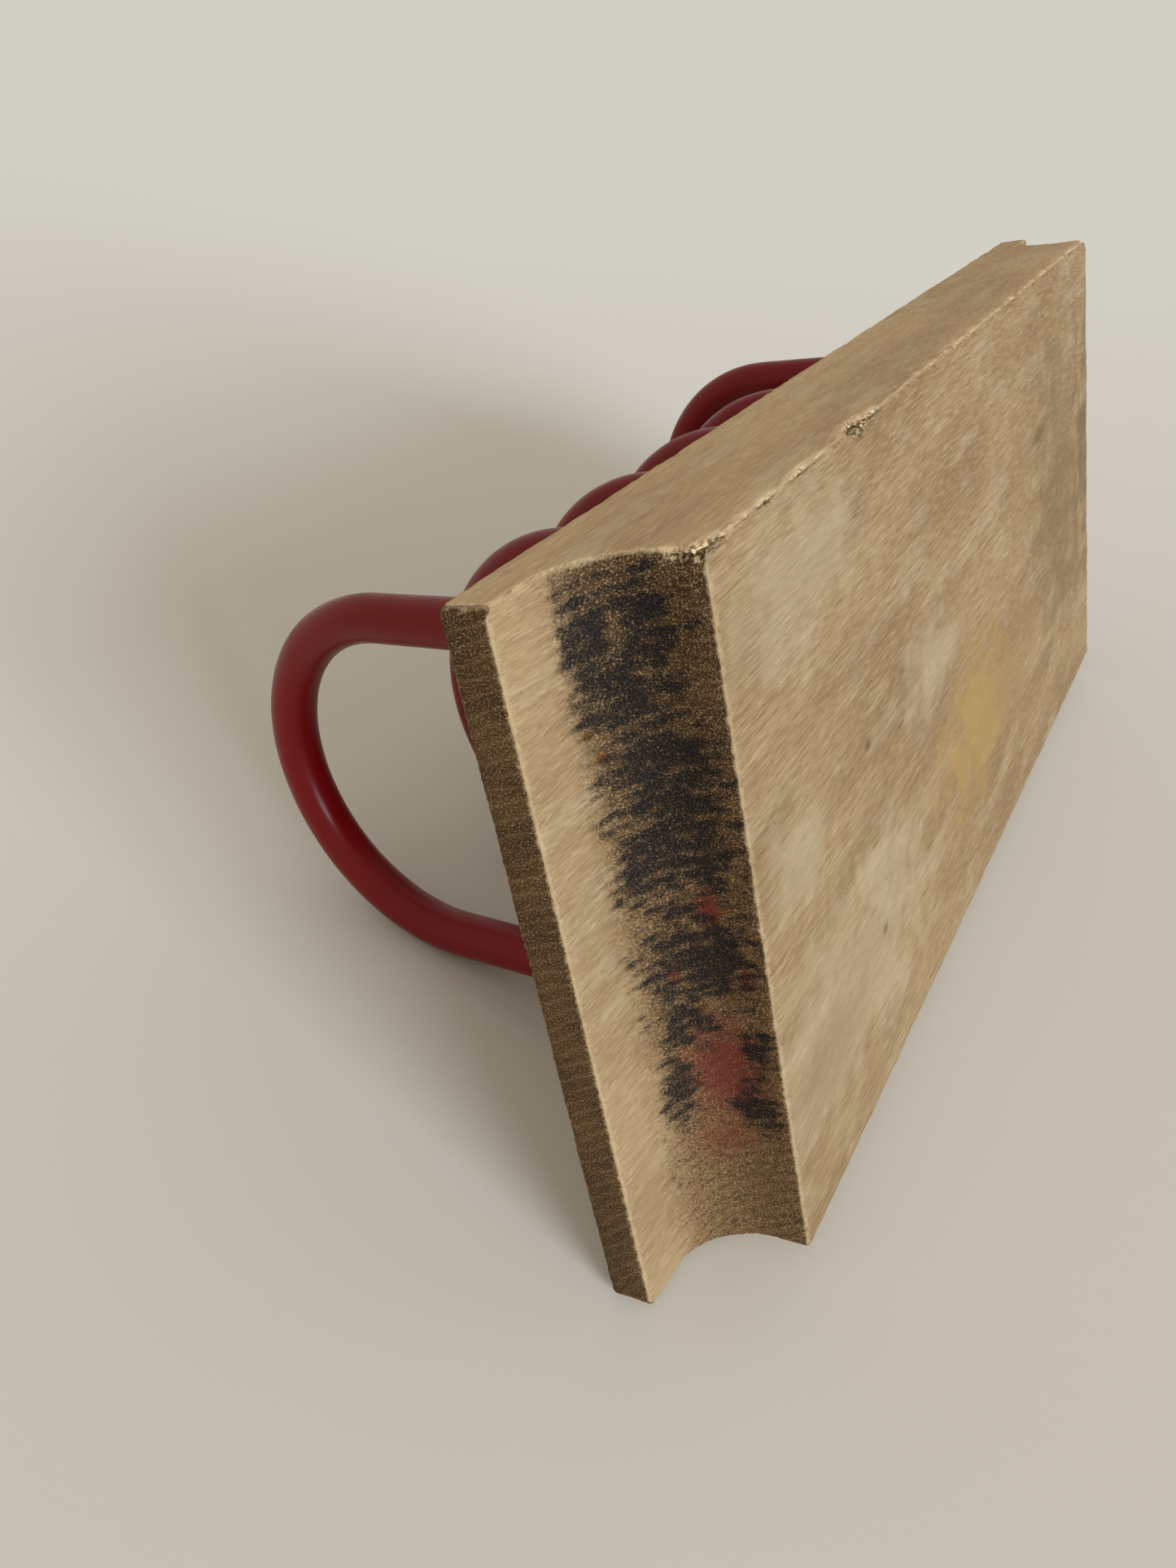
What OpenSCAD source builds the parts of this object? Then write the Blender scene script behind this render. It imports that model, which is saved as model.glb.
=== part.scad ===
// Desk rack: a solid beech board with a finger grip coved under each
// end, and a row of six upright hoops, two tall and four low, each a
// bent steel wire in a red plastic sleeve. The hoops all lean a little
// towards one end. Millimetres, +Z up, origin at the middle of the
// underside.

/* [Board] */
// Length of the board
base_l = 238; // [225:1:320]
// Width of the board
base_w = 100; // [85:1:140]
// Thickness of the board
base_t = 22.5; // [20:0.5:36]
// Thickness of the lip above each finger grip, at its edge
lip_t = 6.3; // [4:0.1:8]
// Thickness of the lip at its root, where the grip's round back begins
lip_root_t = 6.9; // [4:0.1:9]
// Length of the lip's flat underside, from edge to root
lip_l = 9.3; // [7:0.1:12]
// Depth of the grip's round back, from the lip's root inwards
back_l = 7.2; // [5:0.1:9]
// Radius of the grip's round back
back_r = 12; // [10:0.5:16]
// Radius of the board's four upright corners
corner_r = 2; // [0.5:0.5:4]

/* [Hoops] */
// Distance between the middles of neighbouring hoops
hoop_pitch = 31.6; // [24:0.1:36]
// Distance between the middles of a hoop's two legs
leg_spacing = 60; // [44:1:70]
// Height of a tall end hoop above the board
tall_h = 84; // [75:1:130]
// Height of a low inner hoop above the board
low_h = 66; // [55:1:110]
// Number of low hoops between the two tall ones
low_count = 4; // [1:1:4]
// Lean of every hoop towards the far end, in degrees
hoop_lean = 6; // [0:0.5:8]

/* [Wire and sleeve] */
// Diameter of the steel wire
wire_d = 5.8; // [4:0.1:7]
// Outer diameter of the plastic sleeve
sleeve_d = 8; // [7.5:0.1:10]
// Space between the wire and the inside of its sleeve, all round
sleeve_fit = 0.1; // [0.05:0.05:0.15]
// Depth of the wire's seat in the board, along the leg
seat_depth = 14; // [10:0.5:15]
// Space between the wire and the side of its seat, all round
seat_fit = 0.1; // [0.05:0.05:0.3]

/* [Hidden] */
grip_l = lip_l + back_l;
edge_z = base_t - lip_t;
root_z = base_t - lip_root_t;
// Height at which the round back has turned upright
upright_z = max(0, root_z - sqrt(2 * back_r * back_l - back_l * back_l));
hoop_count = low_count + 2;
bend_r = leg_spacing / 2;
sleeve_bore = wire_d + 2 * sleeve_fit;
cut_over = 1;        // how far a cut runs past the face that it opens
sleeve_over = 2;     // sleeve drawn below the board's face, then trimmed
$fn = 96;

// Place of hoop i along the board, counted from 1 at the near end
function hoop_x(i) = (i - (hoop_count + 1) / 2) * hoop_pitch;

// The first and the last hoop are the tall ones
function hoop_h(i) = (i == 1 || i == hoop_count) ? tall_h : low_h;

// Height of the bend's centre above the board, along the leg
function bend_h(i) = hoop_h(i) / cos(hoop_lean) - bend_r - sleeve_d / 2;

// Puts its children on the board's top face at hoop i, leaning with it
module at_hoop(i) {
    translate([hoop_x(i), 0, base_t])
        rotate([0, hoop_lean, 0])
            children();
}

// A bar of diameter d bent into an upside-down U: two straight legs
// that start below the board's face and a half-round bend on top
module bent_bar(i, d, below) {
    for (side = [-1, 1])
        translate([0, side * bend_r, -below])
            cylinder(d = d, h = below + bend_h(i));
    translate([0, 0, bend_h(i)])
        rotate([90, 0, 90])
            rotate_extrude(angle = 180)
                translate([bend_r, 0])
                    circle(d = d);
}

// A block with its four upright corners rounded
module rounded_block(l, w, t, r) {
    translate([-l / 2 + r, -w / 2, 0])
        cube([l - 2 * r, w, t]);
    translate([-l / 2, -w / 2 + r, 0])
        cube([l, w - 2 * r, t]);
    for (x = [-1, 1], y = [-1, 1])
        translate([x * (l / 2 - r), y * (w / 2 - r), 0])
            cylinder(r = r, h = t);
}

// Finger grip, cut right across the near end: the lip's flat underside,
// then a round back that comes down upright
module finger_grip() {
    rotate([90, 0, 0])
        linear_extrude(base_w + 2 * cut_over, center = true)
            intersection() {
                polygon([[-cut_over, -cut_over], [3 * lip_l, -cut_over],
                    [3 * lip_l, 3 * root_z - 2 * edge_z], [0, edge_z],
                    [-cut_over, edge_z]]);
                union() {
                    translate([-back_r, -cut_over])
                        square([grip_l, base_t]);
                    translate([-back_r, -cut_over])
                        square([grip_l + back_r, upright_z + cut_over]);
                    translate([grip_l - back_r, upright_z])
                        circle(r = back_r);
                }
            }
}

// Board: a finger grip below the lip at each end, and two blind seats
// for each hoop's legs
module base_board() {
    color("tan")
        difference() {
            rounded_block(base_l, base_w, base_t, corner_r);
            for (end = [0, 1])
                mirror([end, 0, 0])
                    translate([-base_l / 2, 0, 0])
                        finger_grip();
            for (i = [1 : hoop_count])
                at_hoop(i)
                    for (side = [-1, 1])
                        translate([0, side * bend_r, -seat_depth])
                            cylinder(d = wire_d + 2 * seat_fit,
                                h = seat_depth + cut_over);
        }
}

// Steel wire of hoop i, its cut ends standing on the floors of its seats
module wire(i) {
    if (i <= hoop_count)
        color("silver")
            at_hoop(i)
                bent_bar(i, wire_d, seat_depth);
}

// Plastic sleeve of hoop i, trimmed flush where it meets the board
module sleeve(i) {
    if (i <= hoop_count)
        color("firebrick")
            difference() {
                at_hoop(i)
                    difference() {
                        bent_bar(i, sleeve_d, sleeve_over);
                        bent_bar(i, sleeve_bore, sleeve_over + cut_over);
                    }
                translate([hoop_x(i), 0, base_t / 2])
                    cube([hoop_pitch, base_w, base_t], center = true);
            }
}

base_board();
wire(1);  // wire_1
wire(2);  // wire_2
wire(3);  // wire_3
wire(4);  // wire_4
wire(5);  // wire_5
wire(6);  // wire_6
sleeve(1);  // sleeve_1
sleeve(2);  // sleeve_2
sleeve(3);  // sleeve_3
sleeve(4);  // sleeve_4
sleeve(5);  // sleeve_5
sleeve(6);  // sleeve_6
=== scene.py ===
# %% [markdown]
# # A hoop rack: worn beech board, red sleeved wire hoops
#
# The rack is a thick beech board with a finger grip cut out under each end and a row of red
# hoops on top. It lies tipped over on one long edge and on the sides of its tall hoops, so
# the camera looks at its underside, at one end and into one of the grips.
#
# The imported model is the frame: it gives every size and place. This script adds what a CAD
# solid lacks, which is rounded and chipped edges, saw marks, grain, stains and the soft
# shine of plastic.

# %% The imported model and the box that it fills
import math
import bmesh
import bpy
import numpy as np
from mathutils import Matrix, Vector


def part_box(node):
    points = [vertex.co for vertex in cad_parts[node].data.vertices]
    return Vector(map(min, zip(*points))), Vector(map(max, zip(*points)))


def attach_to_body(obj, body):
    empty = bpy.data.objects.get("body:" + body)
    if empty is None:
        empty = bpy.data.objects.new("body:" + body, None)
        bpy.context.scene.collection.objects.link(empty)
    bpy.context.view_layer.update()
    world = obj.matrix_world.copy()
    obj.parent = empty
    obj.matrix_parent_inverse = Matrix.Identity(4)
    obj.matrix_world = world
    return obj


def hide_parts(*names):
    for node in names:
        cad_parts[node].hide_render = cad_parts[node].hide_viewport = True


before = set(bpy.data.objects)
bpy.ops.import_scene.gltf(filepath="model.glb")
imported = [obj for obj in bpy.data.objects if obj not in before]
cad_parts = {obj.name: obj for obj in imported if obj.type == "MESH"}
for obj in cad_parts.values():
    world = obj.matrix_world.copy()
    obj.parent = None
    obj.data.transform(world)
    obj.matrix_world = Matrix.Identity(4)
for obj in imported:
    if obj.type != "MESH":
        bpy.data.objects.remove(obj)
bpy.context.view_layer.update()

# %% [markdown]
# Sizes that the finer work needs are read from the frame. Blender counts in metres and a
# wood shop counts in millimetres, so the working copies are in millimetres and `MM` turns
# them back.

# %% Sizes of the board and of the hoops
MM = 0.001
TOUCH = 0.05          # a point this close to a CAD face counts as part of it, mm
END_ZONE = 30         # the stretch of an end that holds all of its grip, mm
HALF_L, HALF_W, TOP_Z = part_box("base_board")[1] / MM
near_end = [v.co / MM + Vector((HALF_L, 0, 0))
            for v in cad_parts["base_board"].data.vertices
            if v.co.x / MM < END_ZONE - HALF_L]
LIP_Z = min(p.z for p in near_end if p.x < TOUCH)
# The near grip seen from the board's long side, from the lip's edge to the underside: how
# far each point of the outline is from the end, and how high.
outline = {(round(p.x, 2), round(p.z, 2)) for p in near_end
           if p.z < LIP_Z - TOUCH and abs(p.y) > HALF_W - TOUCH}
GRIP = np.array([(0, LIP_Z)] + sorted(outline, key=lambda point: point[0] - point[1]))
GRIP_L = GRIP[-1, 0]
# Along the outline: the way from the lip's edge to each of its points, and how steep it is
# there, from 0 for level to 1 for upright.
GRIP_ARC = np.concatenate([[0], np.cumsum(np.hypot(*np.diff(GRIP, axis=0).T))])
steepness = -np.diff(GRIP[:, 1]) / np.diff(GRIP_ARC)
GRIP_STEEP = np.interp(GRIP_ARC, (GRIP_ARC[:-1] + GRIP_ARC[1:]) / 2, steepness)
SLEEVES = sorted(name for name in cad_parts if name.startswith("sleeve"))
print(f"board {2 * HALF_L:.1f} x {2 * HALF_W:.1f} x {TOP_Z:.1f}, lip from {LIP_Z:.1f} up, "
      f"grip {GRIP_L:.1f} deep and {GRIP_ARC[-1]:.1f} along its outline")

# %% [markdown]
# Two small tools serve every material. `linear` turns a hex colour, as picked on a screen,
# into the linear numbers that a shader wants. `add` puts one node into a material, with its
# settings, its input values and its links, so that a material reads as a list of steps.

# %% Colour and node tools
def linear(hex_colour):
    """The linear RGBA of an sRGB hex colour such as #c8a070."""
    parts = [int(hex_colour[i:i + 2], 16) / 255 for i in (1, 3, 5)]
    return [p / 12.92 if p <= 0.04045 else ((p + 0.055) / 1.055) ** 2.4 for p in parts] + [1.0]


def add(material, kind, inputs=None, out=0, **settings):
    """Adds one shader node and returns one of its outputs, the one that out names. inputs
    maps a socket's name or number to a value, to a hex colour, or to another node's output,
    which is then linked."""
    node = material.node_tree.nodes.new("ShaderNode" + kind)
    for name, value in settings.items():
        setattr(node, name, value)
    for socket, value in (inputs or {}).items():
        if isinstance(value, bpy.types.NodeSocket):
            material.node_tree.links.new(value, node.inputs[socket])
        elif isinstance(value, str):
            node.inputs[socket].default_value = linear(value)
        else:
            node.inputs[socket].default_value = value
    return node.outputs[out] if len(node.outputs) else None


def new_material(name):
    """A material without any node, ready for steps."""
    material = bpy.data.materials.new(name)
    material.use_nodes = True
    material.node_tree.nodes.clear()
    return material


def finish_material(material, shader):
    """Links the last shader to the material's output."""
    add(material, "OutputMaterial", {"Surface": shader})
    return material


# %% [markdown]
# ## Camera
#
# A phone's main camera held close, a little below the board's underside plane and looking
# along the near end. The lens is 28 mm on a frame 36 mm tall, which is what such a camera
# has. It is aimed at a point and then rolled a few degrees, as a hand holds it.

# %% The camera
def hand_held_camera(place, aim, up, roll_degrees, lens):
    """A camera at place, looking at aim, upright along up and then rolled."""
    data = bpy.data.cameras.new("phone_camera")
    data.sensor_width = 36
    data.lens = lens
    data.clip_start = 0.005
    data.clip_end = 60
    camera = bpy.data.objects.new("phone_camera", data)
    forward = (Vector(aim) - Vector(place)).normalized()
    right = forward.cross(Vector(up)).normalized()
    top = right.cross(forward)
    turn = Matrix((right, top, -forward)).transposed()
    camera.matrix_world = (Matrix.Translation(Vector(place) * MM)
                           @ turn.to_4x4() @ Matrix.Rotation(math.radians(roll_degrees), 4, "Z"))
    bpy.context.scene.collection.objects.link(camera)
    return camera


HOOP_SIDE = max(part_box(name)[1].y for name in SLEEVES) / MM
HOOP_TOP = max(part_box(name)[1].z for name in SLEEVES) / MM
# The floor passes through the long edge that the board lies on, which belongs to its top
# face, and it touches the tall hoops' bends.
edge_to_bend = Vector((-HALF_W, HOOP_TOP - HOOP_SIDE - TOP_Z))
floor_lean = (math.atan2(edge_to_bend.y, -edge_to_bend.x)
              + math.asin(HOOP_SIDE / edge_to_bend.length))
FLOOR_UP = Vector((0, -math.sin(floor_lean), -math.cos(floor_lean)))
FLOOR_POINT = Vector((0, HALF_W, TOP_Z))
print(f"the floor leans {math.degrees(floor_lean):.1f} degrees from the board's faces")

CAMERA_PLACE = Vector((-208.9, -86.2, -54.5))
CAMERA_AIM = Vector((-99.1, -19.0, 22.5))
camera = hand_held_camera(CAMERA_PLACE, CAMERA_AIM, FLOOR_UP, roll_degrees=4.2, lens=28.0)
bpy.context.scene.camera = camera
print(f"the camera is {(CAMERA_AIM - CAMERA_PLACE).length:.0f} mm from its aim")

# %% [markdown]
# ## Stage
#
# The rack lies on a pale sheet. In the frame of the part that sheet leans, because the part's
# own up is the way the hoops stand. A sheet that hides the rack from behind would spoil a
# view from that side, so each sheet is seen from its front only: its back lets all light
# through. A second, level sheet under the board serves views from above, as if the rack
# stood on a table, and it takes no part in the light. The sheet's colour is painted paler
# and cooler with distance and darker near the camera: a painted light falloff.

# %% The paper
# Painted light falloff: the paper is painted darker near the camera and paler, cooler far off.
PAPER_NEAR_PAINTED_SHADE = "#d1cfc5"
PAPER_FAR_PAINTED_LIGHT = "#dddfd9"
MOTTLE = 111          # size of the paper's faint patches, mm
# The way from the camera over the sheet, along which the paper's colour is painted paler: a painted
# light falloff.
AHEAD = CAMERA_AIM - CAMERA_PLACE
AHEAD = (AHEAD - AHEAD.dot(FLOOR_UP) * FLOOR_UP).normalized()


def paper_material(name, camera_only):
    """Matt paper, clear from behind. With camera_only, clear to everything but the eye."""
    material = new_material(name)
    place = add(material, "TexCoord", out="Object")
    mottle = add(material, "TexNoise", {"Vector": place, "Scale": 1 / (MOTTLE * MM),
                                        "Detail": 4.0})
    ahead = add(material, "VectorMath", {0: place, 1: AHEAD}, out="Value",
                operation="DOT_PRODUCT")
    ahead = add(material, "Math", {0: mottle, 1: 0.05, 2: ahead}, operation="MULTIPLY_ADD")
    nearness = add(material, "MapRange", {"Value": ahead, "From Min": 0.60, "From Max": -0.15})
    # Painted light falloff: the paper's colour runs from the near painted shade to the far painted
    # light.
    painted_light_falloff = add(material, "MixRGB", {"Fac": nearness, "Color1": PAPER_FAR_PAINTED_LIGHT,
                                    "Color2": PAPER_NEAR_PAINTED_SHADE})
    paper = add(material, "BsdfPrincipled", {"Base Color": painted_light_falloff, "Roughness": 0.75,
                                             "Specular IOR Level": 0.2})
    clear = add(material, "BsdfTransparent")
    hidden = add(material, "NewGeometry", out="Backfacing")
    if camera_only:
        seen = add(material, "LightPath", out="Is Camera Ray")
        unseen = add(material, "Math", {0: 1.0, 1: seen}, operation="SUBTRACT")
        hidden = add(material, "Math", {0: hidden, 1: unseen}, operation="MAXIMUM")
    shader = add(material, "MixShader", {"Fac": hidden, 1: paper, 2: clear})
    return finish_material(material, shader)


# %% The sheets that the rack lies on
SHEET_REACH = 12      # from the middle of a sheet to each of its sides, in metres


def sheet(name, centre, up, material):
    """A square sheet facing up."""
    turn = Vector((0, 0, 1)).rotation_difference(Vector(up))
    corners = [turn @ Vector((x, y, 0)) * SHEET_REACH + Vector(centre) * MM
               for x, y in ((-1, -1), (1, -1), (1, 1), (-1, 1))]
    mesh = bpy.data.meshes.new(name)
    mesh.from_pydata(corners, [], [(0, 1, 2, 3)])
    mesh.materials.append(material)
    piece = bpy.data.objects.new(name, mesh)
    bpy.context.scene.collection.objects.link(piece)


sheet("lying_sheet", FLOOR_POINT, FLOOR_UP,
      paper_material("matt_paper", camera_only=False))
sheet("table_sheet", (0, 0, 0), (0, 0, 1),
      paper_material("matt_paper_table", camera_only=True))
print(f"two sheets, {2 * SHEET_REACH} m wide")

# %% [markdown]
# ## Light
#
# One window behind the camera's right shoulder, low over the sheet, gives the long soft
# shadow towards the upper left. The rest of the room is a pale even glow, which is the
# world. The window is a sun with a wide disc: it lights the sheet evenly however far the
# sheet runs, and the width of the disc sets how soft the shadow's edge is.

# %% The window and the room
def window_light(towards, strength, width_degrees, colour):
    """A wide sun that shines from the direction towards."""
    data = bpy.data.lights.new("window", "SUN")
    data.energy = strength
    data.angle = math.radians(width_degrees)
    data.color = linear(colour)[:3]
    light = bpy.data.objects.new("window", data)
    light.rotation_mode = "QUATERNION"
    light.rotation_quaternion = Vector(towards).to_track_quat("Z", "Y")
    bpy.context.scene.collection.objects.link(light)


def room_glow(colour, strength):
    """An even pale surround."""
    world = bpy.data.worlds.new("pale_room")
    world.use_nodes = True
    glow = world.node_tree.nodes["Background"]
    glow.inputs["Color"].default_value = linear(colour)
    glow.inputs["Strength"].default_value = strength
    bpy.context.scene.world = world


WINDOW = Vector((-0.415, -0.01, -0.91))
window_light(towards=WINDOW, strength=4.0, width_degrees=26, colour="#eff4ff")
room_glow("#fff3e4", 0.61)
bpy.context.scene.view_settings.view_transform = "Standard"
window_height = math.degrees(math.asin(WINDOW.normalized().dot(FLOOR_UP)))
print(f"the window stands {window_height:.0f} degrees over the sheet")

# %% [markdown]
# ## The board's mesh
#
# The real board was planed, a round-nosed cutter took the grips out of both ends, and years
# of use have rounded its edges. A bevel gives the even rounding. A voxel remesh then turns the
# whole board into one skin of small even faces, which can carry wear, saw marks and chips
# as real shape. Bevelling alone would leave the edges too perfect, and sculpting by hand
# could not be repeated.

# %% A smooth random field
LATTICE = 32          # random numbers along each side of the block that soft_noise reads


def soft_noise(points, cell, seed):
    """A smooth value from -1 to 1 at each point. cell is the size of its lumps, in mm, as
    one number or one for each direction."""
    values = np.random.default_rng(seed).uniform(-1, 1, (LATTICE, LATTICE, LATTICE))
    p = points / np.asarray(cell, float)
    low = np.floor(p).astype(int)
    part = p - low
    part = part * part * (3 - 2 * part)
    total = np.zeros(len(points))
    for dx in (0, 1):
        for dy in (0, 1):
            for dz in (0, 1):
                weight = (np.where(dx, part[:, 0], 1 - part[:, 0])
                          * np.where(dy, part[:, 1], 1 - part[:, 1])
                          * np.where(dz, part[:, 2], 1 - part[:, 2]))
                at = (low + (dx, dy, dz)) % LATTICE
                total += weight * values[at[:, 0], at[:, 1], at[:, 2]]
    return total


# %% The planed blank with its grips
LIP_CORNER = 1.3      # rounding of the lip's upright corners, mm
EDGE_ROUND = 0.4      # rounding of every other edge, mm
SHARP = 35            # edges that turn by more than this are rounded, degrees
SKIN_STEP = 0.5       # size of one face of the finished skin, mm


def board_outline():
    """The board seen from its long side: a flat top, and a grip cut out at each end."""
    right_half = [(HALF_L - u, z) for u, z in GRIP[::-1]] + [(HALF_L, TOP_Z)]
    return right_half + [(-x, z) for x, z in reversed(right_half)]


def gripped_blank():
    """The board with its corners and edges rounded, as one closed solid."""
    blank = bmesh.new()
    side = [blank.verts.new((x * MM, -HALF_W * MM, z * MM)) for x, z in board_outline()]
    face = blank.faces.new(side)
    pushed = bmesh.ops.extrude_face_region(blank, geom=[face])
    moved = [g for g in pushed["geom"] if isinstance(g, bmesh.types.BMVert)]
    bmesh.ops.translate(blank, vec=(0, 2 * HALF_W * MM, 0), verts=moved)
    bmesh.ops.recalc_face_normals(blank, faces=blank.faces)
    at_lip_end = (HALF_L - TOUCH) * MM
    corners = [e for e in blank.edges
               if all(abs(v.co.x) > at_lip_end for v in e.verts)
               and abs(e.verts[0].co.y - e.verts[1].co.y) < MM
               and abs(e.verts[0].co.z - e.verts[1].co.z) > MM]
    bmesh.ops.bevel(blank, geom=corners, offset=LIP_CORNER * MM, segments=5,
                    profile=0.5, affect="EDGES")
    sharp = [e for e in blank.edges if e.calc_face_angle(0) > math.radians(SHARP)]
    bmesh.ops.bevel(blank, geom=sharp, offset=EDGE_ROUND * MM, segments=3,
                    profile=0.5, affect="EDGES")
    mesh = bpy.data.meshes.new("blank")
    blank.to_mesh(mesh)
    blank.free()
    return mesh


def fine_skin(mesh, step):
    """The same solid as one skin of even faces."""
    piece = bpy.data.objects.new("skin", mesh)
    bpy.context.scene.collection.objects.link(piece)
    remesh = piece.modifiers.new("even faces", "REMESH")
    remesh.mode = "VOXEL"
    remesh.voxel_size = step * MM
    depsgraph = bpy.context.evaluated_depsgraph_get()
    skin = bpy.data.meshes.new_from_object(piece.evaluated_get(depsgraph))
    bpy.data.objects.remove(piece)
    return skin


board_mesh = fine_skin(gripped_blank(), SKIN_STEP)
print(f"the board's skin has {len(board_mesh.polygons)} faces")

# %% [markdown]
# Each point of the skin then learns where it is: how far it is from the nearest edge, how
# much of the cut grain it shows, and where it lies along the near grip. The wear and the
# finish both read these.

# %% The skin's points
points = np.empty(len(board_mesh.vertices) * 3)
board_mesh.vertices.foreach_get("co", points)
points = points.reshape(-1, 3) / MM
normals = np.empty(len(points) * 3)
board_mesh.vertex_normals.foreach_get("vector", normals)
normals = normals.reshape(-1, 3)
from_end = HALF_L - np.abs(points[:, 0])
from_near = points[:, 0] + HALF_L
from_upper = points[:, 1] + HALF_W

# %% Where the points lie along the grips
NEARBY = 0.9          # a skin point this close to a surface counts as part of it, mm
grip_gap = np.full(len(points), np.inf)      # distance to the grip's surface
grip_along = np.zeros(len(points))           # place along the grip's outline from the lip
for start, finish, before in zip(GRIP[:-1], GRIP[1:], GRIP_ARC[:-1]):
    step = finish - start
    offset = np.stack([from_end, points[:, 2]], 1) - start
    part = np.clip(offset @ step / (step @ step), 0, 1)
    gap = np.hypot(*(offset - part[:, None] * step).T)
    closer = gap < grip_gap
    grip_gap = np.where(closer, gap, grip_gap)
    grip_along = np.where(closer, before + part * math.hypot(*step), grip_along)
EDGE_SPARE = 0.15     # how far past its outline the grip's rounded edges are still grip, mm
SIDE_EDGE = 0.7       # a normal with a larger share of Y is past the edge of a long side
on_grip = ((grip_gap < NEARBY) & (from_end < GRIP_L + EDGE_SPARE)
           & (points[:, 2] < LIP_Z + EDGE_SPARE) & (np.abs(normals[:, 1]) < SIDE_EDGE))
near_grip = on_grip & (points[:, 0] < 0)
print(f"{near_grip.sum()} points in the near grip")

# %% How far the points are from the edges, and how much end grain they show
outline_gap = np.minimum.reduce([
    TOP_Z - points[:, 2], grip_gap,
    np.where(from_end > GRIP_L, points[:, 2], np.inf),
    np.where(points[:, 2] > LIP_Z, from_end, np.inf)])
side_gap = HALF_W - np.abs(points[:, 1])
edge_gap = np.minimum.reduce([
    np.hypot(np.clip(outline_gap, 0, None), np.clip(side_gap, 0, None)),
    np.hypot(from_end, TOP_Z - points[:, 2]),
    np.hypot(from_end, points[:, 2] - LIP_Z),
    np.hypot(from_end - GRIP_L, points[:, 2])])
end_grain = np.where(on_grip, np.interp(grip_along, GRIP_ARC, GRIP_STEEP), from_end < NEARBY)
print(f"{(end_grain > 0.5).sum()} of {len(points)} points show end grain")

# %% Rounded, dented and chipped
EDGE_WIDTH = 0.9      # how far the wear of an edge reaches, mm
EDGE_WEAR = 0.13      # how deep the edges are worn on average, mm
UPPER_WIDTH = 1.2     # the same two for the underside's upper edge, which took most knocks
UPPER_WEAR = 0.4
SAW_STEP = 1.3        # distance between the saw's notches along the lip's edge, mm
SAW_DEPTH = 0.09
RIPPLE_STEP = 3.6     # distance between the cutter's ripples under the lip, mm
RIPPLE_DEPTH = 0.05
# Chips: where they are from the near end, from the upper long edge and up from the underside,
# their half size along each of these, and their depth.
CHIPS = [((16.6, 0.3, 0.7), (2.6, 1.6, 1.6), 1.3), ((19.6, 0.2, 0.4), (2.8, 1.1, 1.2), 0.8),
         ((16.4, 0.6, 3.6), (1.6, 1.3, 1.9), 0.8), ((8.4, 0.2, 9.6), (1.6, 0.9, 1.3), 0.5),
         ((66.0, 0.3, 0.4), (5.6, 2.0, 1.9), 1.0), ((71.5, 0.2, 0.4), (2.6, 1.0, 1.0), 0.6),
         ((45.0, 0.2, 0.3), (1.6, 0.8, 0.8), 0.4), ((92.0, 0.2, 0.3), (2.2, 0.8, 0.8), 0.4)]
# A small pressed ring: from the near end, from the upper long edge, its radius and depth.
RING_MARK = (33.6, 88.3, 1.4, 0.06)


def worn_depth():
    """How far each point is worn in from the fresh surface, in mm."""
    uneven = soft_noise(points, 5.0, 1) + 0.8 * soft_noise(points, 1.4, 2)
    near_edge = np.exp(-(edge_gap / EDGE_WIDTH) ** 2)
    depth = EDGE_WEAR * near_edge * np.clip(0.7 + 0.9 * uneven, 0, None)
    near_upper = np.exp(-(np.hypot(from_upper, points[:, 2]) / UPPER_WIDTH) ** 2)
    depth += UPPER_WEAR * near_upper * np.clip(0.6 + uneven, 0, None)
    # The planed faces wave a little, the fibres stand up, and the cut ends are rough.
    depth += 0.05 * soft_noise(points, (30, 9, 9), 3)
    depth += 0.03 * soft_noise(points, (6, 1.0, 1.0), 4) * (1 - end_grain)
    depth += 0.035 * soft_noise(points, 0.9, 5) * end_grain
    near_saw = np.exp(-(np.hypot(from_end, TOP_Z - points[:, 2]) / 0.8) ** 2)
    saw_turn = 2 * math.pi * points[:, 1] / SAW_STEP + 2.0 * soft_noise(points, 9.0, 6)
    depth += SAW_DEPTH * near_saw * (1 + np.sin(saw_turn))
    ripple_turn = 2 * math.pi * from_upper / RIPPLE_STEP + 1.5 * soft_noise(points, 14.0, 7)
    depth += RIPPLE_DEPTH * np.sin(ripple_turn) * on_grip * np.clip(1 - end_grain * 1.6, 0, 1)
    rough = 1 + 0.5 * soft_noise(points, 0.9, 8) + 0.4 * soft_noise(points, 2.2, 9)
    for centre, size, deep in CHIPS:
        away = ((from_near - centre[0]) / size[0]) ** 2
        away += ((from_upper - centre[1]) / size[1]) ** 2
        away += ((points[:, 2] - centre[2]) / size[2]) ** 2
        depth += deep * np.clip(1 - away, 0, 1) ** 0.7 * rough
    along, across, radius, deep = RING_MARK
    ring = np.hypot(from_near - along, (from_upper - across) * 0.8) - radius
    return depth + deep * np.exp(-(ring / 0.3) ** 2) * (points[:, 2] < 1.0)


def attach(mesh, name, values):
    """Stores one number for each point of a mesh, for a material to read."""
    attribute = mesh.attributes.new(name, "FLOAT", "POINT")
    attribute.data.foreach_set("value", values.astype(np.float32))


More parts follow.
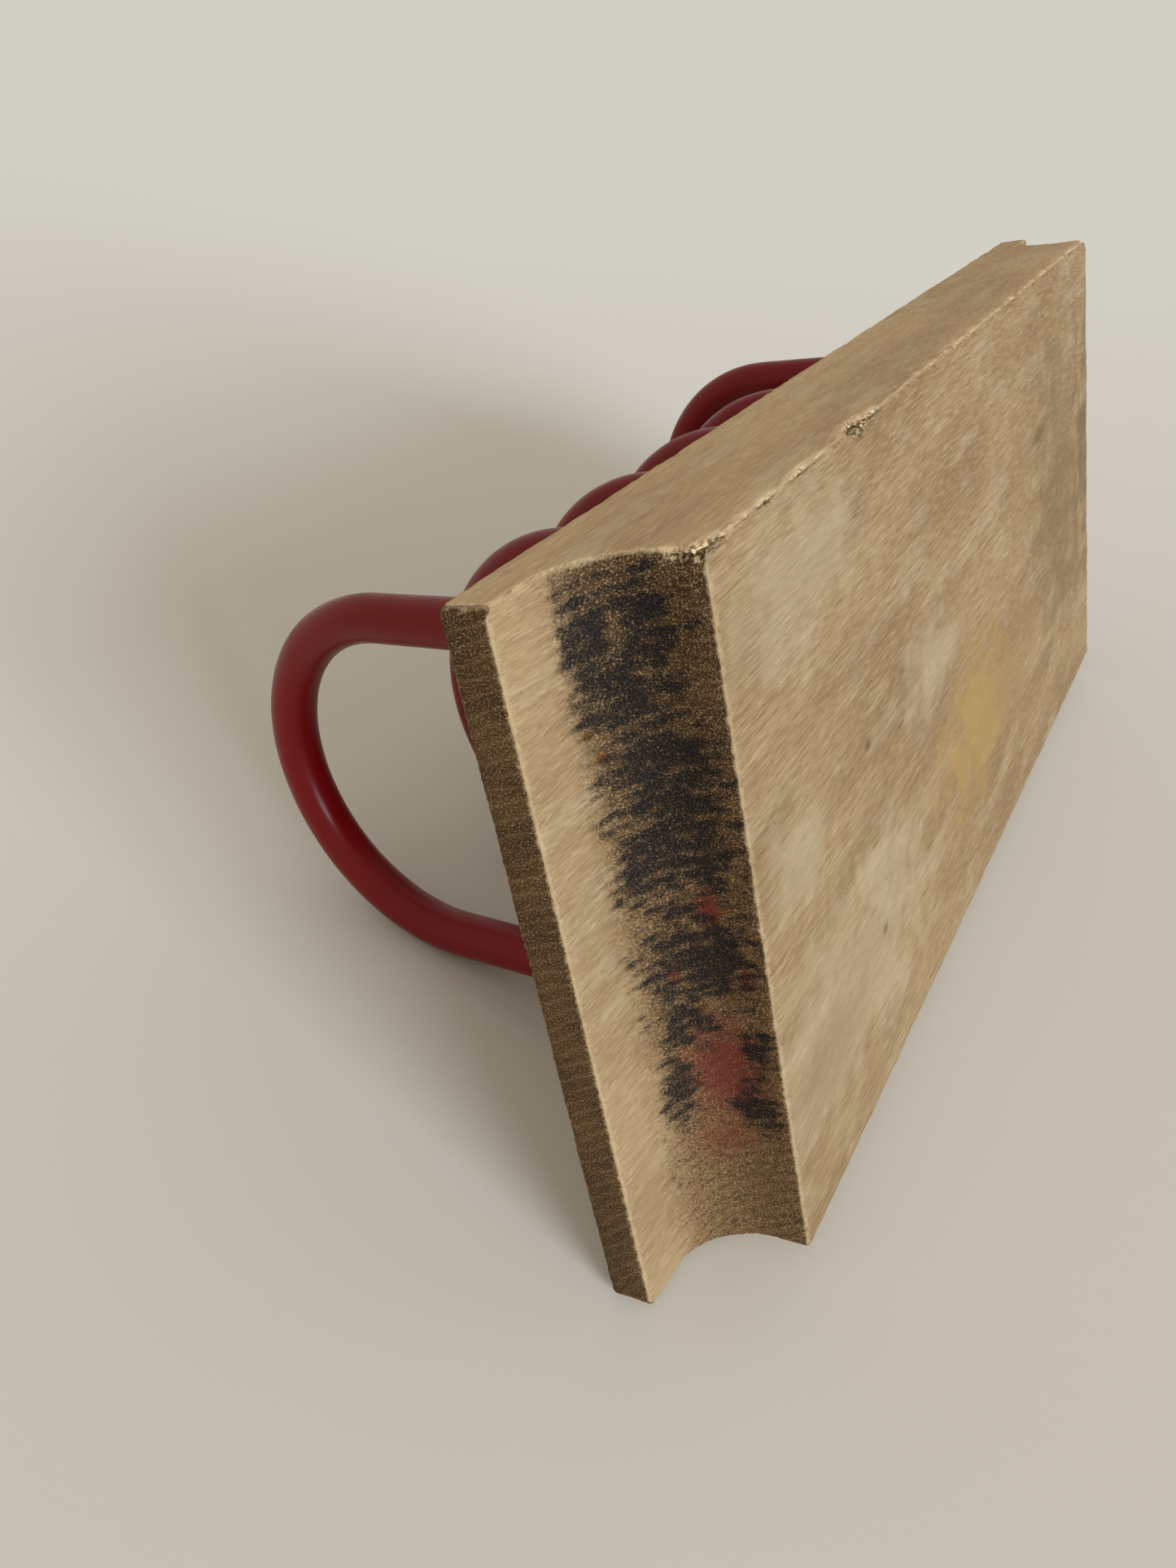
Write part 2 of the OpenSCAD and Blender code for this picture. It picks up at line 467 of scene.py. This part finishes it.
TORN = 0.45           # wood that is gone deeper than this shows as torn, mm
SIDE_FLAT = 0.85      # a normal with a larger share of Y is on the flat of a long side
depth = worn_depth()
worn = points - normals * depth[:, None]
board_mesh.vertices.foreach_set("co", (worn * MM).ravel())
attach(board_mesh, "end_grain", end_grain)
attach(board_mesh, "edge_gap", edge_gap)
attach(board_mesh, "grip_along", grip_along)
attach(board_mesh, "in_grip", near_grip)
attach(board_mesh, "chipped", np.clip(depth - TORN, 0, 1))
attach(board_mesh, "long_side", np.abs(normals[:, 1]) > SIDE_FLAT)
board_mesh.shade_smooth()
board = bpy.data.objects.new("worn_board", board_mesh)
bpy.context.scene.collection.objects.link(board)
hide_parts("base_board")
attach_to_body(board, "root")
print(f"deepest wear {depth.max():.2f} mm")

# %% [markdown]
# ## Bare beech, planed, handled and stained
#
# Beech is a pale close-grained wood. Along the grain it shows fine streaks and short dark
# flecks. Where a cutter went across the grain it shows the cut ends of the fibres, which are
# darker and speckled, because they soak up dirt. All of this is solid texture: it is worked
# out from the place inside the wood, so one pattern gives streaks on the faces, dots on the
# ends and everything between them in the grips, as in a real board.

# %% Places and patterns in the wood
beech = new_material("planed_bare_beech")
in_metres = add(beech, "TexCoord", out="Object")
in_mm = add(beech, "VectorMath", {0: in_metres, "Scale": 1 / MM}, operation="SCALE")
# Place on the board: from the near end, from the upper long edge, up from the underside.
place = add(beech, "VectorMath", {0: in_mm, 1: (HALF_L, HALF_W, 0)}, operation="ADD")


def lumps(size, detail=2.0, where=None):
    """Noise on the beech whose lumps have the given size in mm along X, Y and Z."""
    scaled = add(beech, "VectorMath", {0: where or place, 1: [1 / s for s in size]},
                 operation="MULTIPLY")
    return add(beech, "TexNoise", {"Vector": scaled, "Scale": 1.0, "Detail": detail})


def patches(size, low, high, top=1.0, detail=2.0, where=None):
    """The same noise as patches: 0 where it is under low and top where it is over high."""
    return add(beech, "MapRange", {"Value": lumps(size, detail, where), "From Min": low,
                                   "From Max": high, "To Max": top},
               interpolation_type="SMOOTHSTEP")


# %% [markdown]
# The growth rings are cylinders round the tree's middle, which lay outside this board. Their
# distance from it, made a little uneven, goes through a sine. That draws long faint stripes
# on the faces and slanted arcs in the near grip.

# %% Growth rings
PITH = (0, 135, -16)      # the tree's middle: any length, and its place across and up, mm
YEAR = 1.75               # width of one ring, mm
from_pith = add(beech, "VectorMath", {0: place, 1: PITH}, operation="SUBTRACT")
from_pith = add(beech, "VectorMath", {0: from_pith, 1: (0, 1, 1)}, operation="MULTIPLY")
from_pith = add(beech, "VectorMath", {0: from_pith}, out="Value", operation="LENGTH")
uneven = add(beech, "Math", {0: lumps((70, 8, 8), 3.0), 1: 3.0, 2: from_pith},
             operation="MULTIPLY_ADD")
years = add(beech, "Math", {0: uneven, 1: 2 * math.pi / YEAR}, operation="MULTIPLY")
rings = add(beech, "Math", {0: years}, operation="SINE")

# %% Beech along the grain
fibres = lumps((3.6, 0.2, 0.2), 3.0)
tone = add(beech, "MixRGB", {"Fac": patches((50, 13, 13), 0.38, 0.62, detail=3.0),
                             "Color1": "#ae946c", "Color2": "#987d57"})
tone = add(beech, "MixRGB", {"Fac": patches((24, 6, 6), 0.50, 0.64, top=0.5, detail=4.0),
                             "Color1": tone, "Color2": "#bfab88"})
late_wood = add(beech, "MapRange", {"Value": rings, "From Min": 0.2, "From Max": 1.0,
                                    "To Max": 0.22})
tone = add(beech, "MixRGB", {"Fac": late_wood, "Color1": tone, "Color2": "#866a47"})
tone = add(beech, "MixRGB", {"Fac": patches((12, 0.7, 0.7), 0.46, 0.72, top=0.5),
                             "Color1": tone, "Color2": "#8a6e4a"})
light_fibres = add(beech, "MapRange", {"Value": fibres, "From Min": 0.52, "From Max": 0.68,
                                       "To Max": 0.45})
tone = add(beech, "MixRGB", {"Fac": light_fibres, "Color1": tone, "Color2": "#d2c09a"})
dark_fibres = add(beech, "MapRange", {"Value": fibres, "From Min": 0.48, "From Max": 0.32,
                                      "To Max": 0.5})
tone = add(beech, "MixRGB", {"Fac": dark_fibres, "Color1": tone, "Color2": "#7b5f3c"})
tone = add(beech, "MixRGB", {"Fac": patches((16, 0.18, 0.18), 0.58, 0.70, top=0.4),
                             "Color1": tone, "Color2": "#7a5f3b"})
tone = add(beech, "MixRGB", {"Fac": patches((9, 0.15, 0.15), 0.60, 0.72, top=0.45),
                             "Color1": tone, "Color2": "#d8c8a4"})
along_grain = add(beech, "MixRGB", {"Fac": patches((1.5, 0.22, 0.22), 0.62, 0.74, top=0.6),
                                    "Color1": tone, "Color2": "#6a4f30"})

# %% Beech across the grain
cut = add(beech, "Attribute", attribute_name="end_grain", out="Fac")
grip_at = add(beech, "Attribute", attribute_name="grip_along", out="Fac")
in_grip = add(beech, "Attribute", attribute_name="in_grip", out="Fac")
across = add(beech, "SeparateXYZ", {0: place}, out="Y")
grip_brown = add(beech, "MapRange", {"Value": cut, "From Min": 0.45, "From Max": 1.0})
grip_brown = add(beech, "MixRGB", {"Fac": grip_brown, "Color1": "#927750",
                                   "Color2": "#6b5030"})
# Darker towards the upper long edge: partly the cut grain's own brown, partly painted shade deep in
# the grip.
upper_dark_and_shade = add(beech, "MapRange", {"Value": across, "From Min": 80.0, "From Max": 5.0,
                                     "To Max": 0.7})
grip_brown = add(beech, "MixRGB", {"Fac": upper_dark_and_shade, "Color1": grip_brown,
                                   "Color2": "#3e2a12"})
end_brown = add(beech, "MixRGB", {"Fac": patches((5, 6, 6), 0.35, 0.65, detail=4.0),
                                  "Color1": "#5f4424", "Color2": "#452e14"})
tone = add(beech, "MixRGB", {"Fac": in_grip, "Color1": end_brown, "Color2": grip_brown})
pores = lumps((0.4, 0.22, 0.22), 2.0)
early_wood = add(beech, "MapRange", {"Value": rings, "From Min": 0.5, "From Max": 1.0,
                                     "To Max": 0.22})
tone = add(beech, "MixRGB", {"Fac": early_wood, "Color1": tone, "Color2": "#94774e"})
ring_lines = add(beech, "MapRange", {"Value": rings, "From Min": -0.55, "From Max": -1.0,
                                     "To Max": 0.5})
tone = add(beech, "MixRGB", {"Fac": ring_lines, "Color1": tone, "Color2": "#4a3217"})
light_ends = add(beech, "MapRange", {"Value": pores, "From Min": 0.54, "From Max": 0.68,
                                     "To Max": 0.75})
tone = add(beech, "MixRGB", {"Fac": light_ends, "Color1": tone, "Color2": "#b89d74"})
dark_ends = add(beech, "MapRange", {"Value": pores, "From Min": 0.46, "From Max": 0.32,
                                    "To Max": 0.8})
across_grain = add(beech, "MixRGB", {"Fac": dark_ends, "Color1": tone,
                                     "Color2": "#35240f"})

# %% The two blended, with painted light on the long sides and the pale worn edges
# The flat under the lip is made paler than the rest of the grip.
under_lip = add(beech, "MapRange", {"Value": grip_at, "From Min": 10.0, "From Max": 7.0,
                                    "To Max": 0.2})
under_lip = add(beech, "Math", {0: under_lip, 1: in_grip}, operation="MULTIPLY")
along_grain = add(beech, "MixRGB", {"Fac": under_lip, "Color1": along_grain,
                                    "Color2": "#d9c196"})
ragged = add(beech, "Math", {0: lumps((1.6, 1.6, 1.6), 4.0), 1: 0.35, 2: cut},
             operation="MULTIPLY_ADD")
cut_amount = add(beech, "MapRange", {"Value": ragged, "From Min": 0.52, "From Max": 0.82},
                 interpolation_type="SMOOTHSTEP")
body = add(beech, "MixRGB", {"Fac": cut_amount, "Color1": along_grain,
                             "Color2": across_grain})
# Painted light on the long sides: their colour is mixed towards a pale tone and brightened.
side = add(beech, "Attribute", attribute_name="long_side", out="Fac")
side_pale_painted_light = add(beech, "Math", {0: side, 1: 0.25}, operation="MULTIPLY")
body = add(beech, "MixRGB", {"Fac": side_pale_painted_light, "Color1": body, "Color2": "#b0a184"})
side_painted_light_gain = add(beech, "Math", {0: side, 1: 0.28, 2: 1.0}, operation="MULTIPLY_ADD")
body = add(beech, "VectorMath", {0: body, "Scale": side_painted_light_gain}, operation="SCALE")
edge = add(beech, "Attribute", attribute_name="edge_gap", out="Fac")
edge = add(beech, "Math", {0: edge, 1: lumps((1.2, 1.2, 1.2), 4.0)}, operation="MULTIPLY")
edge_pale = add(beech, "MapRange", {"Value": edge, "From Min": 0.32, "From Max": 0.08,
                                    "To Max": 0.7}, interpolation_type="SMOOTHSTEP")
body = add(beech, "MixRGB", {"Fac": edge_pale, "Color1": body, "Color2": "#cdb88f"})
chipped = add(beech, "Attribute", attribute_name="chipped", out="Fac")
torn_tone = add(beech, "MixRGB", {"Fac": patches((0.8, 0.45, 0.45), 0.42, 0.58),
                                  "Color1": "#d0bd94", "Color2": "#5c4526"})
torn_amount = add(beech, "MapRange", {"Value": chipped, "From Max": 0.15, "To Max": 0.85})
body = add(beech, "MixRGB", {"Fac": torn_amount, "Color1": body, "Color2": torn_tone})

# %% [markdown]
# Years of use left pale rubbed places and an ochre stain on the underside, and ink along the
# near grip, where inky fingers or pads were wiped: blue-black over some dull red smears. The
# ink sits in the ends of the fibres, so it is grainy and it is darker along the growth rings.

# %% Rubs and stains on the underside
# Each: place from the near end and the upper long edge, half size, colour, strength.
UNDERSIDE_MARKS = [
    ((40, 11), (32, 13), "#c2b392", 0.45), ((30, 44), (15, 11), "#c2b493", 0.45),
    ((88, 45), (20, 11), "#c0b190", 0.50), ((60, 64), (16, 10), "#c0b190", 0.30),
    ((44, 74), (50, 24), "#cbbb98", 0.40), ((33, 78), (18, 8), "#927650", 0.35),
    ((114, 66), (38, 22), "#8f7342", 0.40), ((114, 67), (33, 18), "#bd9d62", 0.65),
    ((146, 68), (34, 20), "#a0845a", 0.40),
    ((56, 42.7), (1.9, 1.0), "#5e4a30", 0.70), ((56.6, 74), (1.7, 1.1), "#5e4a30", 0.60),
    ((168, 29.5), (9, 1.8), "#664e30", 0.50), ((157, 17.7), (5, 1.2), "#664e30", 0.45),
    ((190, 45), (34, 46), "#7c6848", 0.50), ((225, 45), (24, 46), "#6e5c3e", 0.60),
]


def oval(where, centre, half_size):
    """How far a place is from the middle of an oval: 1 on its rim."""
    away = add(beech, "VectorMath", {0: where, 1: (*centre, 0)}, operation="SUBTRACT")
    away = add(beech, "VectorMath", {0: away, 1: (1 / half_size[0], 1 / half_size[1], 0)},
               operation="MULTIPLY")
    return add(beech, "VectorMath", {0: away}, out="Value", operation="LENGTH")


def stained(body, where, mark, rag=0.5, lump=5.0, soft=0.45, grain=None):
    """Lays an oval stain with a ragged rim over body and returns the new colour. rag is how
    far the rim wanders and soft how wide it is, both as a share of the oval, and lump is the
    size of its lumps. With grain, the stain takes to some fibre ends and misses others."""
    centre, half_size, colour, strength = mark
    rim = lumps((lump, lump, lump), 4.0, where)
    reach = add(beech, "Math", {0: rim, 1: 2 * rag, 2: oval(where, centre, half_size)},
                operation="MULTIPLY_ADD")
    if grain:
        reach = add(beech, "Math", {0: grain, 1: 0.8, 2: reach}, operation="MULTIPLY_ADD")
    soft_from = 1.0 + rag + (0.4 if grain else 0.0)
    amount = add(beech, "MapRange", {"Value": reach, "From Min": soft_from,
                                     "From Max": soft_from - soft, "To Max": strength},
                 interpolation_type="SMOOTHSTEP")
    return add(beech, "MixRGB", {"Fac": amount, "Color1": body, "Color2": colour})


UNDER_Z = 1.5         # wood lower than this is marked as underside, mm
not_grip = add(beech, "Math", {0: 1.0, 1: in_grip}, operation="SUBTRACT")
height = add(beech, "SeparateXYZ", {0: place}, out="Z")
low_down = add(beech, "Math", {0: height, 1: UNDER_Z}, operation="LESS_THAN")
under = add(beech, "Math", {0: not_grip, 1: low_down}, operation="MULTIPLY")
marked = body
for mark in UNDERSIDE_MARKS:
    marked = stained(marked, place, mark, rag=0.9, lump=7.0, soft=0.8)
body = add(beech, "MixRGB", {"Fac": under, "Color1": body, "Color2": marked})
print(f"{len(UNDERSIDE_MARKS)} marks on the underside")

# %% Red smears and orange spots in the near grip
# Place in the grip: along its outline from the lip, and from the upper long edge, in mm.
grip = add(beech, "CombineXYZ", {"X": grip_at, "Y": across})
DULL_RED = "#6a1c1a"
RUST = "#8a5820"
RED_SMEARS = [((21.2, 44.6), (2.3, 4.4), DULL_RED, 0.80), ((15.6, 53.6), (1.5, 2.2), DULL_RED, 0.7),
              ((24.6, 54.5), (1.6, 3.4), DULL_RED, 0.60), ((20.0, 69.5), (8, 12), DULL_RED, 0.72),
              ((18.0, 81.0), (6.0, 5.0), DULL_RED, 0.40)]
RUST_SPOTS = [((10.9, 19.3), (0.9, 0.7), RUST, 0.8), ((12.2, 22.5), (1.2, 0.9), RUST, 0.8)]
smeared = body
for mark in RED_SMEARS:
    smeared = stained(smeared, grip, mark, rag=0.35, lump=1.6, soft=0.8, grain=pores)
for mark in RUST_SPOTS:
    smeared = stained(smeared, grip, mark, rag=0.2, lump=0.8)
body = add(beech, "MixRGB", {"Fac": in_grip, "Color1": body, "Color2": smeared})

# %% Ink in the near grip
# Each: place in the grip and half size. They run into each other.
INK_AREAS = [((13.1, 8.7), (3.6, 7)), ((19.8, 8.7), (4.6, 8)), ((15.7, 16), (6.9, 5)),
             ((19.0, 26), (8.2, 9)), ((19.0, 36), (9.0, 8)), ((14.7, 39), (4.8, 4)),
             ((19.5, 51.5), (8.4, 9)), ((16.0, 61), (4.0, 5)), ((13.4, 72), (2.8, 6)),
             ((24.8, 66), (2.4, 5)), ((23.2, 75.5), (3.4, 4.5))]
ink_reach = None
for centre, half_size in INK_AREAS:
    away = oval(grip, centre, half_size)
    ink_reach = away if ink_reach is None else add(
        beech, "Math", {0: ink_reach, 1: away, 2: 0.4}, operation="SMOOTH_MIN")
# How much ink a place took: most in the middle of an area and along the growth rings,
# least along the scratches that a scraper left later.
loaded = add(beech, "MapRange", {"Value": ink_reach, "From Min": 1.4, "From Max": 0.4})
blots = lumps((3.0, 2.4, 1), 5.0, grip)
loaded = add(beech, "Math", {0: blots, 1: 2.6, 2: loaded}, operation="MULTIPLY_ADD")
loaded = add(beech, "Math", {0: rings, 1: 0.2, 2: loaded}, operation="MULTIPLY_ADD")
scraped = add(beech, "VectorRotate", {"Vector": grip, "Angle": math.radians(-24)},
              rotation_type="Z_AXIS")
scratches = patches((0.16, 14, 1), 0.60, 0.72, top=0.5, where=scraped)
loaded = add(beech, "Math", {0: loaded, 1: scratches}, operation="SUBTRACT")
loaded = add(beech, "Math", {0: pores, 1: -0.9, 2: loaded}, operation="MULTIPLY_ADD")
inked = add(beech, "MapRange", {"Value": loaded, "From Min": 0.98, "From Max": 1.85,
                                "To Max": 0.96}, interpolation_type="SMOOTHSTEP")
# Single fibre ends that the ink missed.
missed = patches((0.2, 0.2, 0.2), 0.54, 0.66, top=0.6, detail=1.0)
missed = add(beech, "Math", {0: 1.0, 1: missed}, operation="SUBTRACT")
inked = add(beech, "Math", {0: inked, 1: missed}, operation="MULTIPLY")
past_lip = add(beech, "MapRange", {"Value": grip_at, "From Min": 7.8, "From Max": 10.0})
inked = add(beech, "Math", {0: inked, 1: past_lip}, operation="MULTIPLY")
inked = add(beech, "Math", {0: inked, 1: in_grip}, operation="MULTIPLY")
ink_tone = add(beech, "MixRGB", {"Fac": patches((0.5, 0.3, 0.3), 0.45, 0.7),
                                 "Color1": "#080b0f", "Color2": "#171614"})
body = add(beech, "MixRGB", {"Fac": inked, "Color1": body, "Color2": ink_tone})

# %% The board darkened with age, its long sides left lighter as painted light
# The long sides are left out of the darkening, which keeps them lighter: painted light.
aged_except_painted_sides = add(beech, "Math", {0: 1.0, 1: side}, operation="SUBTRACT")
body = add(beech, "MixRGB", {"Fac": aged_except_painted_sides, "Color1": body, "Color2": "#d5d4d2"},
           blend_type="MULTIPLY")

# %% The beech's shader
relief = add(beech, "MixRGB", {"Fac": cut_amount, "Color1": fibres, "Color2": pores})
bump = add(beech, "Bump", {"Height": relief, "Strength": 0.7, "Distance": 0.00025})
beech_shader = add(beech, "BsdfPrincipled", {"Base Color": body, "Roughness": 0.72,
                                             "Specular IOR Level": 0.15, "Normal": bump})
finish_material(beech, beech_shader)
board_mesh.materials.clear()
board_mesh.materials.append(beech)
print(f"the beech has {len(beech.node_tree.nodes)} nodes")

# %% [markdown]
# ## The red sleeves
#
# Each hoop is a steel wire in a soft vinyl sleeve. The sleeve is a tube swept along an
# upside-down U. A swept curve object would do, but a mesh made ring by ring can also carry
# the small dents and the slight unevenness that soft plastic gets over the years.

# %% The sleeve of one hoop
# A foot is as wide across the board as the sleeve is thick.
one_foot = [v.co.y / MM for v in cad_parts[SLEEVES[0]].data.vertices
            if v.co.z / MM < TOP_Z + TOUCH and v.co.y > 0]
SLEEVE_R = round((max(one_foot) - min(one_foot)) / 2, 2)
RING_STEP = 1.0       # distance between the sleeve's rings, mm
ROUND_STEPS = 40      # points round the sleeve
DENTS_EACH = 9        # small dents on each sleeve


def hoop_path(name):
    """Points along the middle of a hoop, in mm, and the way that the hoop faces."""
    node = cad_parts[name]
    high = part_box(name)[1] / MM
    feet = [v.co.x / MM for v in node.data.vertices if v.co.z / MM < TOP_Z + TOUCH]
    tops = [v.co.x / MM for v in node.data.vertices if v.co.z / MM > high.z - TOUCH]
    foot = (min(feet) + max(feet)) / 2
    top = (min(tops) + max(tops)) / 2
    lean = math.atan2(top - foot, high.z - TOP_Z)
    bend = high.y - SLEEVE_R
    straight = (high.z - TOP_Z) / math.cos(lean) - SLEEVE_R - bend
    flat = [(-bend, h) for h in np.arange(0, straight, RING_STEP)]
    turns = np.linspace(0, math.pi, int(math.pi * bend / RING_STEP))
    flat += [(-bend * math.cos(a), straight + bend * math.sin(a)) for a in turns]
    flat += [(bend, h) for h in np.arange(0, straight, RING_STEP)[::-1]]
    flat = np.array(flat)
    across, up = flat[:, 0], flat[:, 1]
    path = np.stack([foot + up * math.sin(lean), across, TOP_Z + up * math.cos(lean)], 1)
    return path, Vector((math.cos(lean), 0, -math.sin(lean)))


def sleeve_mesh(name, seed):
    """A tube along the hoop, a little uneven and dented."""
    path, normal = hoop_path(name)
    heading = np.gradient(path, axis=0)
    heading /= np.linalg.norm(heading, axis=1)[:, None]
    side = np.array(normal)
    inward = np.cross(heading, side)
    turns = np.linspace(0, 2 * math.pi, ROUND_STEPS, endpoint=False)
    out = (np.cos(turns)[None, :, None] * side
           + np.sin(turns)[None, :, None] * inward[:, None, :])
    skin = (path[:, None, :] + SLEEVE_R * out).reshape(-1, 3)
    out = out.reshape(-1, 3)
    dip = 0.035 + 0.035 * soft_noise(skin, 9.0, seed)
    rng = np.random.default_rng(seed)
    for _ in range(DENTS_EACH):
        centre = skin[rng.integers(len(skin))]
        size = rng.uniform(0.7, 1.8)
        dip += rng.uniform(0.03, 0.10) * np.exp(-((skin - centre) ** 2).sum(1) / size ** 2)
    skin -= out * dip[:, None]
    rings = len(path)
    index = np.arange(rings * ROUND_STEPS).reshape(rings, ROUND_STEPS)
    following = np.roll(index, -1, axis=1)
    faces = np.stack([index[:-1], following[:-1], following[1:], index[1:]], -1)
    faces = faces.reshape(-1, 4).tolist()
    faces += [index[0][::-1].tolist(), index[-1].tolist()]
    mesh = bpy.data.meshes.new(name + "_skin")
    mesh.from_pydata((skin * MM).tolist(), [], faces)
    mesh.update()
    return mesh


# %% [markdown]
# ## Vinyl, extruded and stretched over the wire
#
# Soft vinyl is a smooth plastic with an IOR of about 1.53. It is glossy when new and goes
# satin with handling, so its highlights are broad and soft. Faint scuffs make the shine
# uneven, and the red is a little deeper in some places than in others.

# %% Dark red vinyl
SCUFF = 5.56          # size of the scuffed patches, mm
DEEP_RED = 45.5       # size of the places with a deeper red, mm
vinyl = new_material("dark_red_soft_vinyl")
vinyl_at = add(vinyl, "TexCoord", out="Object")
scuffs = add(vinyl, "TexNoise", {"Vector": vinyl_at, "Scale": 1 / (SCUFF * MM),
                                  "Detail": 6.0})
shade = add(vinyl, "TexNoise", {"Vector": vinyl_at, "Scale": 1 / (DEEP_RED * MM),
                                "Detail": 2.0})
red = add(vinyl, "MixRGB", {"Fac": shade, "Color1": "#6b0209", "Color2": "#7a040d"})
shine = add(vinyl, "MapRange", {"Value": scuffs, "From Min": 0.35, "From Max": 0.7,
                                "To Min": 0.27, "To Max": 0.4})
skin_bump = add(vinyl, "Bump", {"Height": scuffs, "Strength": 0.12, "Distance": 0.0001})
vinyl_shader = add(vinyl, "BsdfPrincipled", {"Base Color": red, "Roughness": shine,
                                             "IOR": 1.53, "Specular IOR Level": 0.22,
                                             "Normal": skin_bump})
finish_material(vinyl, vinyl_shader)

for number, name in enumerate(SLEEVES):
    mesh = sleeve_mesh(name, seed=100 + number)
    mesh.shade_smooth()
    mesh.materials.append(vinyl)
    tube = bpy.data.objects.new("red_" + name, mesh)
    bpy.context.scene.collection.objects.link(tube)
    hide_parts(name)
    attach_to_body(tube, "root")
print(f"{len(SLEEVES)} sleeves of {2 * SLEEVE_R:.0f} mm vinyl")

# %% [markdown]
# ## Drawn steel
#
# The wires are hidden inside their sleeves and in their seats. They keep their CAD shape
# and get a plain finish of drawn steel: grey, half glossy, with marks from the die. Those
# are really far finer than a millimetre, and are drawn coarser so that they could show.

# %% Steel for the wires
DIE_MARK = 1.1        # size of the marks, mm
steel = new_material("drawn_steel")
steel_at = add(steel, "TexCoord", out="Object")
die_marks = add(steel, "TexNoise", {"Vector": steel_at, "Scale": 1 / (DIE_MARK * MM),
                                     "Detail": 3.0})
grey = add(steel, "MixRGB", {"Fac": die_marks, "Color1": "#8d8d8f", "Color2": "#a5a5a6"})
steel_shader = add(steel, "BsdfPrincipled", {"Base Color": grey, "Metallic": 1.0,
                                             "Roughness": 0.38})
finish_material(steel, steel_shader)
wires = [node for name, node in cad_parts.items() if name.startswith("wire")]
for wire in wires:
    wire.data.materials.clear()
    wire.data.materials.append(steel)
print(f"{len(wires)} wires of drawn steel")
